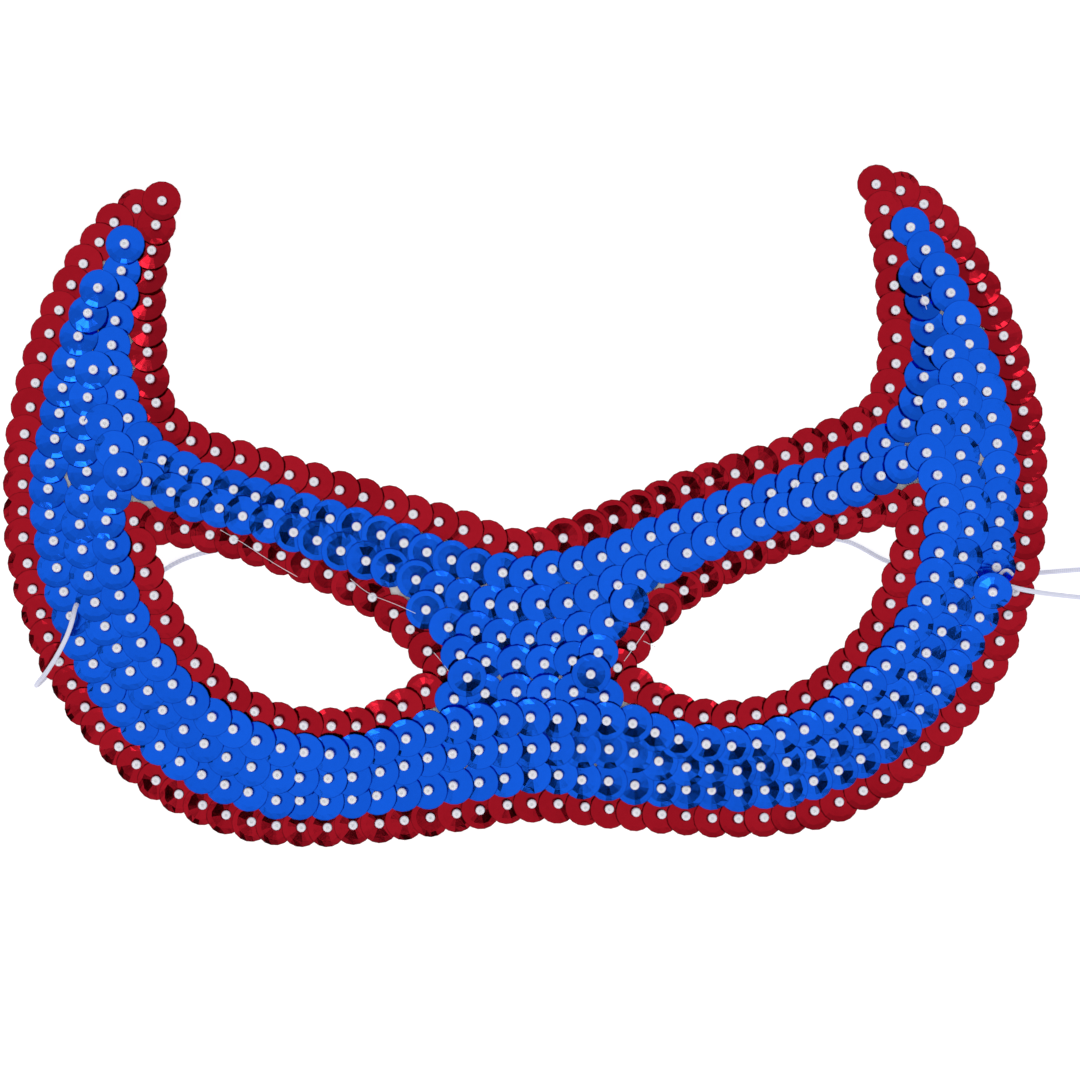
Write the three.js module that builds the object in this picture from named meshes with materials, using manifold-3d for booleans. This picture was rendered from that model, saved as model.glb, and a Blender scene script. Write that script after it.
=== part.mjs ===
// Half mask with two upswept horn corners: white felt covered in shingled cup sequins, with a round elastic.
// It lies on its back with its front up: +X to the viewer's right, +Y towards the horns, +Z out of the front.
// The origin is the middle of the mask in plan, on the surface that it lies on. Sizes are in millimetres.

import * as THREE from 'three';
import { mergeVertices } from 'three/addons/utils/BufferGeometryUtils.js';
import Module from 'manifold-3d';

const wasm = await Module();
wasm.setup();

// The mask over the rims of its outer sequins
const maskWidth = 217.6;
const maskHeight = 140;

// The felt, and how far its edges stay inside the rims of the sequins sewn along them
const feltThickness = 2;
const feltSetBack = 1.2;

// The sequins, and how much of each the next one in its row and the next row hide
const sequinDiameter = 8;
const sequinLap = 2.6;
const rowLap = 2.6;
const sequinSides = 10;

// Heights of the sewn layers over the felt's seat: red ones tilt along their row like shingles
const redMidHeight = 0.75;
const redRisePerMillimetre = 0.087;
const blueFieldHeight = 1.8;

// The mask is bowed both ways as it was worn, and lies on its horn tips and its cheeks
const noseRise = 8;
const templeDrop = 4.2;
const cheekPatchAcross = 45;
const cheekPatchUp = 62;
const bowCellsUp = 3;
const bowCellsAcross = 4;

// The round elastic and the knots that hold its ends behind the felt
const cordDiameter = 1;
const cordSides = 8;
const knotDiameter = 2.8;
const knotHeight = 2.2;
const knotSteps = 4;

// Separate pieces stay this far apart
const clearance = 0.3;

// Spacing of the worked-out outlines, how far a plainer outline may leave them, and radians to a side of a
// round corner
const outlineSpacing = 1;
const outlineTolerance = 0.15;
const cornerFanStep = 0.5;

// Corners this near to each other are one, and a triangle lower than a needle has as good as no area
const sameCornerWithin = 0.005;
const needleHeight = 0.0005;

const sequinRadius = sequinDiameter / 2;
const sequinPitch = sequinDiameter - sequinLap;
const rowSpacing = sequinDiameter - rowLap;
const feltOverhang = sequinRadius - feltSetBack;
const seatHeight = feltThickness + clearance;
const seamHalfWidth = maskWidth / 2 - sequinRadius;
const seamHalfHeight = maskHeight / 2 - sequinRadius;
const cellWidth = maskWidth / 2 / bowCellsAcross;
const cellHeight = cheekPatchUp / bowCellsUp;
const toolReach = noseRise + feltThickness + blueFieldHeight + sequinDiameter;

// Seams of the red sequins on the right half, as shares of the seam's half width and half height
const cheekSeam = [
  { across: 0, up: -0.936 },
  { across: 0.215, up: -0.973 },
  { across: 0.424, up: -1 },
  { across: 0.58, up: -0.97 },
  { across: 0.722, up: -0.867 },
  { across: 0.838, up: -0.698 },
  { across: 0.924, up: -0.491 },
  { across: 0.981, up: -0.22 },
  { across: 1, up: 0.076 },
  { across: 0.975, up: 0.4 },
  { across: 0.904, up: 0.711 },
  { across: 0.815, up: 0.918 },
  { across: 0.771, up: 0.971 },
  { across: 0.714, up: 1 },
];
const browSeam = [
  { across: 0.714, up: 1 },
  { across: 0.735, up: 0.836 },
  { across: 0.743, up: 0.62 },
  { across: 0.74, up: 0.44 },
  { across: 0.719, up: 0.326 },
  { across: 0.677, up: 0.248 },
  { across: 0.593, up: 0.189 },
  { across: 0.438, up: 0.106 },
  { across: 0.284, up: 0.027 },
  { across: 0.127, up: -0.065 },
  { across: 0, up: -0.126 },
];
const eyeTopSeam = [
  { across: 0.775, up: -0.014 },
  { across: 0.623, up: -0.064 },
  { across: 0.471, up: -0.141 },
  { across: 0.329, up: -0.252 },
  { across: 0.246, up: -0.353 },
  { across: 0.174, up: -0.505 },
];
const eyeFloorSeam = [
  { across: 0.174, up: -0.505 },
  { across: 0.211, up: -0.57 },
  { across: 0.307, up: -0.658 },
  { across: 0.416, up: -0.674 },
  { across: 0.521, up: -0.638 },
  { across: 0.614, up: -0.544 },
  { across: 0.697, up: -0.386 },
  { across: 0.754, up: -0.188 },
  { across: 0.775, up: -0.014 },
];

// Where the elastic passes through the mask, as the same shares
const rightHole = { across: 0.929, up: -0.27 };
const leftHole = { across: -0.895, up: -0.274 };

// The elastic's route in millimetres, chosen by hand: out of the right hole's front, over the edge, round a
// narrow bend on the surface, back beneath both eyes, up round the left edge and into the left hole's front
const cordRoute = [
  { x: 97.4, y: -17.8, z: 5.75 },
  { x: 97.4, y: -17.8, z: 7 },
  { x: 97.75, y: -17.9, z: 8.35 },
  { x: 98.7, y: -18.17, z: 9.34 },
  { x: 100, y: -18.54, z: 9.7 },
  { x: 102.8, y: -19.3, z: 9.1 },
  { x: 106.4, y: -20, z: 7.5 },
  { x: 111, y: -20.7, z: 4.8 },
  { x: 116.5, y: -21.4, z: 1.8 },
  { x: 124, y: -22.1, z: 0.55 },
  { x: 131.2, y: -22.4, z: 0.55 },
  { x: 133.6, y: -21.4, z: 0.55 },
  { x: 134.6, y: -19, z: 0.55 },
  { x: 133.6, y: -16.6, z: 0.55 },
  { x: 131.2, y: -15.6, z: 0.55 },
  { x: 124, y: -15.2, z: 0.55 },
  { x: 114, y: -15.6, z: 0.55 },
  { x: 105, y: -16, z: 0.55 },
  { x: 95, y: -15.4, z: 0.55 },
  { x: 85, y: -15.8, z: 0.55 },
  { x: 75.4, y: -12.8, z: 0.55 },
  { x: 66, y: -8.2, z: 0.55 },
  { x: 40, y: -7.6, z: 0.55 },
  { x: -8, y: -8.2, z: 0.55 },
  { x: -56, y: -6.7, z: 0.55 },
  { x: -73, y: -9.6, z: 0.55 },
  { x: -87, y: -20.5, z: 0.55 },
  { x: -96.8, y: -29.1, z: 0.55 },
  { x: -100.8, y: -32.6, z: 0.55 },
  { x: -102.33, y: -34.16, z: 1.46 },
  { x: -102.97, y: -34.81, z: 3.65 },
  { x: -102.33, y: -34.1, z: 5.84 },
  { x: -100.7, y: -32.3, z: 6.75 },
  { x: -97.8, y: -28.1, z: 7.7 },
  { x: -95.5, y: -23.9, z: 9.15 },
  { x: -94.34, y: -20.75, z: 9.9 },
  { x: -94.07, y: -19.42, z: 9.54 },
  { x: -93.87, y: -18.45, z: 8.55 },
  { x: -93.8, y: -18.1, z: 7.2 },
  { x: -93.8, y: -18.1, z: 6 },
];

const materials = {
  felt: new THREE.MeshStandardMaterial({ color: 0xf4f3f0, roughness: 0.95, metalness: 0 }),
  red: new THREE.MeshStandardMaterial({ color: 0xa80f1c, roughness: 0.25, metalness: 0.8 }),
  blue: new THREE.MeshStandardMaterial({ color: 0x0c62e8, roughness: 0.25, metalness: 0.8 }),
  elastic: new THREE.MeshStandardMaterial({ color: 0xf0f1fa, roughness: 0.8, metalness: 0 }),
};

// A closed geometry as a solid that can be joined and cut
function solidOf(geometry) {
  const bare = geometry.clone();
  bare.deleteAttribute('normal');
  bare.deleteAttribute('uv');
  const merged = mergeVertices(bare);
  return new wasm.Manifold(
    new wasm.Mesh({
      numProp: 3,
      vertProperties: new Float32Array(merged.attributes.position.array),
      triVerts: new Uint32Array(merged.index.array),
    }),
  );
}

// A triangle that is as good as a line gets an area again: its longest edge is turned in the quad that it
// makes with the triangle beyond that edge
function turnNeedles(triangles, position) {
  const corner = (index) => new THREE.Vector3().fromBufferAttribute(position, index);
  triangles.forEach((triangle, here) => {
    const { a, b, c } = new THREE.Triangle(...triangle.map(corner));
    const sides = [a.distanceTo(b), b.distanceTo(c), c.distanceTo(a)];
    const longest = sides.indexOf(Math.max(...sides));
    if ((2 * new THREE.Triangle(a, b, c).getArea()) / sides[longest] > needleHeight) return;
    const [start, end, tip] = [0, 1, 2].map((step) => triangle[(longest + step) % 3]);
    const beyond = triangles.findIndex((other) =>
      other.some((at, i) => at === end && other[(i + 1) % 3] === start),
    );
    const far = triangles[beyond].find((at) => at !== start && at !== end);
    triangles[here] = [start, far, tip];
    triangles[beyond] = [far, end, tip];
  });
}

// A named mesh of a solid, in which corners that lie as good as on each other are made one
function meshOf(name, solid, material) {
  const { vertProperties, triVerts } = solid.getMesh();
  const exact = new THREE.BufferGeometry();
  exact.setAttribute('position', new THREE.BufferAttribute(vertProperties, 3));
  exact.setIndex(new THREE.BufferAttribute(triVerts, 1));
  const geometry = mergeVertices(exact, sameCornerWithin);
  const corners = Array.from(geometry.index.array);
  const all = corners.flatMap((a, i) => (i % 3 ? [] : [[a, corners[i + 1], corners[i + 2]]]));
  const triangles = all.filter((triangle) => new Set(triangle).size === 3);
  turnNeedles(triangles, geometry.attributes.position);
  geometry.setIndex(triangles.flat());
  geometry.computeVertexNormals();
  const mesh = new THREE.Mesh(geometry, material);
  mesh.name = name;
  return mesh;
}

// The mask's bow is a grid of flat facets, so that its layers keep an even gap. Height of a grid point of the
// felt's back over the surface that the mask lies on:
function gridHeight(column, row) {
  const fallAcross = templeDrop / (maskWidth / 2) ** 2;
  const fallUp = (noseRise - fallAcross * cheekPatchAcross ** 2) / cheekPatchUp ** 2;
  const bow = noseRise - fallAcross * (column * cellWidth) ** 2 - fallUp * (row * cellHeight) ** 2;
  return Math.max(0, bow);
}

// Height of the felt's back anywhere, on the two facets of its grid cell
function bowHeight(x, y) {
  const column = Math.floor(x / cellWidth);
  const row = Math.floor(y / cellHeight);
  const across = x / cellWidth - column;
  const up = y / cellHeight - row;
  const nearest = gridHeight(column, row);
  const farthest = gridHeight(column + 1, row + 1);
  const beside = across > up ? gridHeight(column + 1, row) : gridHeight(column, row + 1);
  const most = Math.max(across, up);
  const least = Math.min(across, up);
  return nearest + (beside - nearest) * most + (farthest - beside) * least;
}

// Everything under the bowed surface at one height over the felt's back
function groundUpTo(height) {
  const cellsAcross = 2 * (bowCellsAcross + 1);
  const cellsUp = 2 * Math.ceil((maskHeight / 2 + sequinRadius) / cellHeight);
  const spanAcross = cellsAcross * cellWidth;
  const spanUp = cellsUp * cellHeight;
  const geometry = new THREE.BoxGeometry(spanAcross, spanUp, 1, cellsAcross, cellsUp, 1);
  const { position } = geometry.attributes;
  for (let i = 0; i < position.count; i += 1) {
    const column = Math.round(position.getX(i) / cellWidth);
    const row = Math.round(position.getY(i) / cellHeight);
    position.setZ(i, position.getZ(i) > 0 ? gridHeight(column, row) + height : -toolReach / 2);
  }
  return solidOf(geometry);
}

function betweenHeights(solid, bottom, top) {
  return solid.intersect(groundUpTo(top)).subtract(groundUpTo(bottom));
}

// An upright prism over a closed outline, tall enough to pass through every layer
function prismOver(loop) {
  const shape = new THREE.Shape(loop);
  const geometry = new THREE.ExtrudeGeometry(shape, { depth: 2 * toolReach, bevelEnabled: false });
  geometry.translate(0, 0, -toolReach);
  return solidOf(geometry);
}

const mirrored = (point) => new THREE.Vector2(-point.x, point.y);

const placeOf = ({ across, up }) => new THREE.Vector2(across * seamHalfWidth, up * seamHalfHeight);

const pointsOf = (table) => table.map(placeOf);

// The outer seam runs from the left horn tip along the cheeks to the right one, and back over the brow
function outerSeam() {
  const cheek = pointsOf(cheekSeam);
  const brow = pointsOf(browSeam);
  return [
    new THREE.SplineCurve([...cheek.slice(1).map(mirrored).reverse(), ...cheek]),
    new THREE.SplineCurve([...brow, ...brow.slice(0, -1).map(mirrored).reverse()]),
  ];
}

// An eye's seam runs anticlockwise from corner to corner, on the right or mirrored on the left
function eyeSeam(isLeft) {
  const spans = [pointsOf(eyeTopSeam), pointsOf(eyeFloorSeam)];
  const chosen = isLeft ? spans.map((points) => points.map(mirrored).reverse()).reverse() : spans;
  return chosen.map((points) => new THREE.SplineCurve(points));
}

// Evenly spaced places along a seam, one of them on each corner
function placesAlong(spans, spacing) {
  return spans.flatMap((span) => {
    const steps = Math.max(2, Math.round(span.getLength() / spacing));
    return Array.from({ length: steps }, (_, i) => ({
      point: span.getPointAt(i / steps),
      heading: span.getTangentAt(i / steps).angle(),
    }));
  });
}

function loopAlong(spans) {
  return placesAlong(spans, outlineSpacing).map(({ point }) => point);
}

function distanceToLoop(point, loop) {
  return Math.min(
    ...loop.map((start, i) => {
      const end = loop[(i + 1) % loop.length];
      const along = end.clone().sub(start);
      const share = THREE.MathUtils.clamp(point.clone().sub(start).dot(along) / along.lengthSq(), 0, 1);
      return point.distanceTo(start.clone().addScaledVector(along, share));
    }),
  );
}

// An anticlockwise loop moved outwards, or inwards where distance is negative, with round outer corners.
// Points that would come nearer to the loop than that, where its sides meet, are left out.
function offsetLoop(loop, distance) {
  const moved = loop.flatMap((point, i) => {
    const before = point.clone().sub(loop.at(i - 1)).angle();
    const after = loop[(i + 1) % loop.length].clone().sub(point).angle();
    const turn = THREE.MathUtils.euclideanModulo(after - before + Math.PI, 2 * Math.PI) - Math.PI;
    const fan = Math.max(1, Math.ceil(Math.abs(turn) / cornerFanStep));
    return Array.from({ length: fan }, (_, k) => {
      const outwards = before + (turn * (k + 0.5)) / fan - Math.PI / 2;
      return new THREE.Vector2(Math.cos(outwards), Math.sin(outwards)).multiplyScalar(distance).add(point);
    });
  });
  return moved.filter((point) => distanceToLoop(point, loop) > Math.abs(distance) - outlineTolerance);
}

// The same outline with the points left out that stray less than the tolerance from its neighbours' line
function plainer(loop) {
  const kept = [loop[0]];
  let start = 0;
  for (let end = 2; end < loop.length; end += 1) {
    const chord = new THREE.Line3(
      new THREE.Vector3(loop[start].x, loop[start].y, 0),
      new THREE.Vector3(loop[end].x, loop[end].y, 0),
    );
    const strays = loop.slice(start + 1, end).some((point) => {
      const at = new THREE.Vector3(point.x, point.y, 0);
      return chord.closestPointToPoint(at, true, new THREE.Vector3()).distanceTo(at) > outlineTolerance;
    });
    if (strays) {
      start = end - 1;
      kept.push(loop[start]);
    }
  }
  return kept;
}

function roundOutline(x, y, radius, sides, heading) {
  return Array.from({ length: sides }, (_, i) => {
    const angle = heading + ((i + 0.5) * 2 * Math.PI) / sides;
    return new THREE.Vector2(x + radius * Math.cos(angle), y + radius * Math.sin(angle));
  });
}

function cordHoles(radius) {
  const holes = [rightHole, leftHole].map((hole) => {
    const { x, y } = placeOf(hole);
    return prismOver(roundOutline(x, y, radius, cordSides, 0));
  });
  return holes[0].add(holes[1]);
}

function feltBacking() {
  const outline = prismOver(plainer(offsetLoop(loopAlong(outerSeam()), feltOverhang)));
  const eyes = [true, false].map((isLeft) =>
    prismOver(plainer(offsetLoop(loopAlong(eyeSeam(isLeft)), -feltOverhang))),
  );
  const sheet = outline.subtract(eyes[0]).subtract(eyes[1]).subtract(cordHoles(cordDiameter / 2 + clearance));
  return betweenHeights(sheet, 0, feltThickness);
}

// One red sequin as a flat-topped wedge that climbs along its row and follows the bow
function redSequin({ point, heading }) {
  const outline = roundOutline(0, 0, sequinRadius, sequinSides, heading - Math.PI / 2);
  const geometry = new THREE.ExtrudeGeometry(new THREE.Shape(outline), { depth: 1, bevelEnabled: false });
  const { position } = geometry.attributes;
  const along = new THREE.Vector2(Math.cos(heading), Math.sin(heading));
  const reach = sequinRadius / 2;
  const slopeX = (bowHeight(point.x + reach, point.y) - bowHeight(point.x - reach, point.y)) / sequinRadius;
  const slopeY = (bowHeight(point.x, point.y + reach) - bowHeight(point.x, point.y - reach)) / sequinRadius;
  for (let i = 0; i < position.count; i += 1) {
    const x = position.getX(i);
    const y = position.getY(i);
    const ground = bowHeight(point.x, point.y) + slopeX * x + slopeY * y;
    const climb = redRisePerMillimetre * (along.x * x + along.y * y);
    position.setZ(i, position.getZ(i) > 0 ? ground + seatHeight + redMidHeight + climb : ground);
  }
  geometry.translate(point.x, point.y, 0);
  return solidOf(geometry);
}

// The ground that the blue sequins cover in plan, each of their rims let out by some spare width
function blueGround(spareWidth) {
  const outer = offsetLoop(loopAlong(outerSeam()), -rowSpacing);
  const eyes = [true, false].map((isLeft) => offsetLoop(loopAlong(eyeSeam(isLeft)), rowSpacing));
  const eyePrisms = eyes.map((loop) => prismOver(plainer(loop)));
  const middle = prismOver(plainer(outer)).subtract(eyePrisms[0]).subtract(eyePrisms[1]);
  const rims = [outer, ...eyes].flatMap((loop) => {
    const edge = new THREE.Path([...loop, loop[0]]);
    const count = Math.round(edge.getLength() / sequinPitch);
    return Array.from({ length: count }, (_, i) => {
      const { x, y } = edge.getPointAt(i / count);
      const heading = edge.getTangentAt(i / count).angle();
      return prismOver(roundOutline(x, y, sequinRadius + spareWidth, sequinSides, heading + Math.PI / 2));
    });
  });
  return wasm.Manifold.union([middle, ...rims]);
}

// The cord starts to bend between the blue sequins, so they leave it a wider hole than the felt does
function blueField() {
  const field = blueGround(0).subtract(cordHoles(cordDiameter / 2 + 2 * clearance));
  return betweenHeights(field, seatHeight, seatHeight + blueFieldHeight);
}

function redRing(spans) {
  const sequins = placesAlong(spans, sequinPitch).map(redSequin);
  return wasm.Manifold.union(sequins).subtract(groundUpTo(seatHeight)).subtract(blueGround(clearance));
}

// A smooth route whose steps crowd where its points do, which keeps its tight bends round
class CordRoute extends THREE.CatmullRomCurve3 {
  getPointAt(share, target) {
    return this.getPoint(share, target);
  }

  getTangentAt(share, target) {
    return this.getTangent(share, target);
  }
}

function elasticCord() {
  const points = cordRoute.map(({ x, y, z }) => new THREE.Vector3(x, y, z));
  const route = new CordRoute(points, false, 'centripetal');
  const section = new THREE.Shape(roundOutline(0, 0, cordDiameter / 2, cordSides, 0));
  return solidOf(new THREE.ExtrudeGeometry(section, { steps: points.length - 1, extrudePath: route }));
}

// A round knot behind the felt, on the stretch of the elastic that stands in its hole
function cordKnot(hole) {
  const { x, y } = placeOf(hole);
  const stemRadius = cordDiameter / 2;
  const stemTop = feltThickness - clearance;
  const meetsStem = Math.acos(stemRadius / (knotDiameter / 2));
  const middle = -clearance - knotHeight / 2;
  const round = Array.from({ length: knotSteps + 1 }, (_, i) => {
    const angle = THREE.MathUtils.lerp(-Math.PI / 2, meetsStem, i / knotSteps);
    const height = middle + (knotHeight / 2) * Math.sin(angle);
    return new THREE.Vector2((knotDiameter / 2) * Math.cos(angle), height);
  });
  round[0].x = 0;
  const profile = [...round, new THREE.Vector2(stemRadius, stemTop), new THREE.Vector2(0, stemTop)];
  const geometry = new THREE.LatheGeometry(profile, cordSides);
  geometry.rotateX(Math.PI / 2);
  geometry.translate(x, y, bowHeight(x, y));
  return solidOf(geometry);
}

const mask = new THREE.Group();
mask.add(
  meshOf('felt_backing', feltBacking(), materials.felt),
  meshOf('outer_border_sequins', redRing(outerSeam()), materials.red),
  meshOf('left_eye_border_sequins', redRing(eyeSeam(true)), materials.red),
  meshOf('right_eye_border_sequins', redRing(eyeSeam(false)), materials.red),
  meshOf('blue_sequin_field', blueField(), materials.blue),
  meshOf('elastic_cord', elasticCord(), materials.elastic),
  meshOf('left_cord_knot', cordKnot(leftHole), materials.elastic),
  meshOf('right_cord_knot', cordKnot(rightHole), materials.elastic),
);

export default mask;
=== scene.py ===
"""Looks of a felt half mask covered in cup sequins, lying on its back on a pale floor.

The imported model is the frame: +X to the viewer's right, +Y towards the horns, +Z out of the sequinned
front, in metres. Rows of sequins follow the seams of the model's own source, and each sequin is laid over
those sewn before it. Every piece has its object at the origin and its place in its mesh.
"""

import logging
import math
import random
from dataclasses import dataclass, field
from enum import Enum
from typing import Iterable, Sequence

import bmesh
import bpy
from mathutils import Matrix, Vector

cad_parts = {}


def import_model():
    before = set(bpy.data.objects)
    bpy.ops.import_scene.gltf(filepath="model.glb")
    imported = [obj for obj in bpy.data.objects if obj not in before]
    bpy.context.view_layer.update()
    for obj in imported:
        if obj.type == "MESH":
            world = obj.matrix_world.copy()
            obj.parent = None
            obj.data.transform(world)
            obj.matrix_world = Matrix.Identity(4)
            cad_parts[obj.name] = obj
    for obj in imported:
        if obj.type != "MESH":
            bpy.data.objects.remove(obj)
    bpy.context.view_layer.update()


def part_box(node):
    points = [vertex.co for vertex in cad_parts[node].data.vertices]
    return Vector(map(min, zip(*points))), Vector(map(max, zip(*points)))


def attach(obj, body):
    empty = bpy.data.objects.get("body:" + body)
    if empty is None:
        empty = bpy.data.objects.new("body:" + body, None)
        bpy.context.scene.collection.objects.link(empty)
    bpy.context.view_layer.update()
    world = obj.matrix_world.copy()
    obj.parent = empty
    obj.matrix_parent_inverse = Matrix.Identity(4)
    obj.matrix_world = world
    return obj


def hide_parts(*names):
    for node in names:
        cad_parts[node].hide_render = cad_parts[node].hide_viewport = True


LOG = logging.getLogger("sequin_mask")

# Sizes that the model's own source gives, in metres
SEQUIN_RADIUS = 0.004
SEQUIN_PITCH = 0.0054
FELT_THICKNESS = 0.002
FELT_OVERHANG = 0.0028
SEAM_HALF_HEIGHT = 0.066

# Distance under which two corners are one
SAME_PLACE = 1e-7

# Elastic: its real size, and its route, which repeats the points of the model's source in metres
CORD_DIAMETER = 0.001
CORD_ROUTE = (
    (0.0974, -0.0178, 0.00575),
    (0.0974, -0.0178, 0.007),
    (0.09775, -0.0179, 0.00835),
    (0.0987, -0.01817, 0.00934),
    (0.1, -0.01854, 0.0097),
    (0.1028, -0.0193, 0.0091),
    (0.1064, -0.02, 0.0075),
    (0.111, -0.0207, 0.0048),
    (0.1165, -0.0214, 0.0018),
    (0.124, -0.0221, 0.00055),
    (0.1312, -0.0224, 0.00055),
    (0.1336, -0.0214, 0.00055),
    (0.1346, -0.019, 0.00055),
    (0.1336, -0.0166, 0.00055),
    (0.1312, -0.0156, 0.00055),
    (0.124, -0.0152, 0.00055),
    (0.114, -0.0156, 0.00055),
    (0.105, -0.016, 0.00055),
    (0.095, -0.0154, 0.00055),
    (0.085, -0.0158, 0.00055),
    (0.0754, -0.0128, 0.00055),
    (0.066, -0.0082, 0.00055),
    (0.04, -0.0076, 0.00055),
    (-0.008, -0.0082, 0.00055),
    (-0.056, -0.0067, 0.00055),
    (-0.073, -0.0096, 0.00055),
    (-0.087, -0.0205, 0.00055),
    (-0.0968, -0.0291, 0.00055),
    (-0.1008, -0.0326, 0.00055),
    (-0.10233, -0.03416, 0.00146),
    (-0.10297, -0.03481, 0.00365),
    (-0.10233, -0.0341, 0.00584),
    (-0.1007, -0.0323, 0.00675),
    (-0.0978, -0.0281, 0.0077),
    (-0.0955, -0.0239, 0.00915),
    (-0.09434, -0.02075, 0.0099),
    (-0.09407, -0.01942, 0.00954),
    (-0.09387, -0.01845, 0.00855),
    (-0.0938, -0.0181, 0.0072),
    (-0.0938, -0.0181, 0.006),
)

# Seams on the right half, as shares across the seam's half width and up its half height
CHEEK_SEAM = (
    (0, -0.936),
    (0.215, -0.973),
    (0.424, -1),
    (0.58, -0.97),
    (0.722, -0.867),
    (0.838, -0.698),
    (0.924, -0.491),
    (0.981, -0.22),
    (1, 0.076),
    (0.975, 0.4),
    (0.904, 0.711),
    (0.815, 0.918),
    (0.771, 0.971),
    (0.714, 1),
)
BROW_SEAM = (
    (0.714, 1),
    (0.735, 0.836),
    (0.743, 0.62),
    (0.74, 0.44),
    (0.719, 0.326),
    (0.677, 0.248),
    (0.593, 0.189),
    (0.438, 0.106),
    (0.284, 0.027),
    (0.127, -0.065),
    (0, -0.126),
)
EYE_TOP_SEAM = (
    (0.775, -0.014),
    (0.623, -0.064),
    (0.471, -0.141),
    (0.329, -0.252),
    (0.246, -0.353),
    (0.174, -0.505),
)
EYE_FLOOR_SEAM = (
    (0.174, -0.505),
    (0.211, -0.57),
    (0.307, -0.658),
    (0.416, -0.674),
    (0.521, -0.638),
    (0.614, -0.544),
    (0.697, -0.386),
    (0.754, -0.188),
    (0.775, -0.014),
)

# Rows of blue sequins on the right half, as the same shares. The edge row follows the outer seam, the
# goggle row runs round both eyes, and the rest fill what is left between them.
EDGE_LOWER_ROW = (
    (0, -0.846),
    (0.215, -0.885),
    (0.42, -0.912),
    (0.555, -0.888),
    (0.684, -0.797),
    (0.79, -0.643),
    (0.871, -0.452),
    (0.926, -0.2),
    (0.944, 0.08),
    (0.921, 0.35),
    (0.875, 0.57),
    (0.836, 0.72),
    (0.785, 0.86),
)
EDGE_UPPER_ROW = (
    (0.785, 0.86),
    (0.792, 0.7),
    (0.81, 0.548),
    (0.803, 0.42),
    (0.774, 0.287),
    (0.715, 0.176),
    (0.61, 0.097),
    (0.452, 0.013),
    (0.296, -0.067),
    (0.139, -0.163),
    (0, -0.208),
)
GOGGLE_LOWER_ROW = (
    (0, -0.664),
    (0.115, -0.67),
    (0.2, -0.69),
    (0.29, -0.742),
    (0.396, -0.764),
    (0.5, -0.737),
    (0.6, -0.668),
    (0.682, -0.57),
    (0.748, -0.44),
    (0.797, -0.288),
    (0.82, -0.125),
    (0.829, 0.01),
    (0.797, 0.142),
)
GOGGLE_UPPER_ROW = (
    (0.797, 0.142),
    (0.748, 0.107),
    (0.664, 0.04),
    (0.56, 0),
    (0.404, -0.095),
    (0.256, -0.192),
    (0.12, -0.283),
    (0, -0.302),
)
MIDDLE_ROW = (
    (0, -0.755),
    (0.17, -0.77),
    (0.26, -0.812),
    (0.39, -0.842),
    (0.53, -0.814),
    (0.66, -0.712),
    (0.765, -0.548),
    (0.837, -0.355),
    (0.872, -0.15),
    (0.882, 0.0),
    (0.867, 0.13),
    (0.879, 0.21),
    (0.872, 0.32),
    (0.85, 0.46),
)
HORN_ROW = (
    (0.815, 0.215),
    (0.829, 0.3),
)
NOSE_ROWS = (
    ((0.201, -0.312), (0.16, -0.367), (0.105, -0.385), (0.054, -0.405), (0, -0.41)),
    ((0.139, -0.46), (0.067, -0.489), (0, -0.49)),
    ((0.15, -0.595), (0.08, -0.578), (0, -0.583)),
)
NOSE_SIDE_ROW = (
    (0.122, -0.53),
    (0.13, -0.53),
)
NOSE_PITCHES = (0.0056, 0.0056, 0.0066)

# Clear threads that lie across the front between distant beads, as places in plan in metres
LOOSE_THREADS = (
    ((-0.0634, -0.0032), (-0.0591, -0.0058), (-0.0525, -0.0103), (-0.0476, -0.0133)),
    ((-0.0366, -0.014), (-0.0332, -0.0168), (-0.027, -0.0196), (-0.0233, -0.0214)),
    ((-0.0197, -0.0296), (-0.0182, -0.0315), (-0.0166, -0.0337)),
    ((0.0252, -0.0248), (0.0234, -0.0273), (0.0197, -0.0323)),
    ((0.0238, -0.0282), (0.0263, -0.0295)),
    ((0.0835, 0.0425), (0.0844, 0.0394)),
)

# Sixteen directions round a sequin
COMPASS = tuple(Vector((math.cos(math.pi * step / 8), math.sin(math.pi * step / 8))) for step in range(16))

# Where the elastic passes through the mask, as the same shares
RIGHT_HOLE = (0.929, -0.27)
LEFT_HOLE = (-0.895, -0.274)


class Facing(Enum):
    """Which way a row was sewn, seen from the front, which says which sequin of two lies over the other."""

    ANTICLOCKWISE = 1
    CLOCKWISE = -1


class Rhythm(Enum):
    """What falls on the middle of a row: a sequin, the gap between two, or either."""

    SEQUIN = 0
    GAP = 1
    FREE = 2


class Side(Enum):
    """A half of the mask, as the viewer sees it."""

    RIGHT = 1
    LEFT = -1


@dataclass(frozen=True)
class Bow:
    """The mask's curve both ways, as it was worn."""

    nose_rise: float = 0.008
    temple_drop: float = 0.0042
    half_width: float = 0.1088
    cheek_across: float = 0.045
    cheek_up: float = 0.062
    softness: float = 0.0005

    def height(self, x: float, y: float) -> float:
        """Height of the felt's back over the floor.

        Args:
            x: Place across the mask.
            y: Place up the mask.

        Returns:
            The height, which levels out softly where the felt lies on the floor.
        """
        fall_across = self.temple_drop / self.half_width**2
        fall_up = (self.nose_rise - fall_across * self.cheek_across**2) / self.cheek_up**2
        free = self.nose_rise - fall_across * x * x - fall_up * y * y
        return (free + math.hypot(free, self.softness)) / 2

    def slope(self, x: float, y: float) -> Vector:
        """Returns how fast the felt rises across and up at a place."""
        step = 0.001
        across = self.height(x + step, y) - self.height(x - step, y)
        up = self.height(x, y + step) - self.height(x, y - step)
        return Vector((across, up)) / (2 * step)


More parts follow.
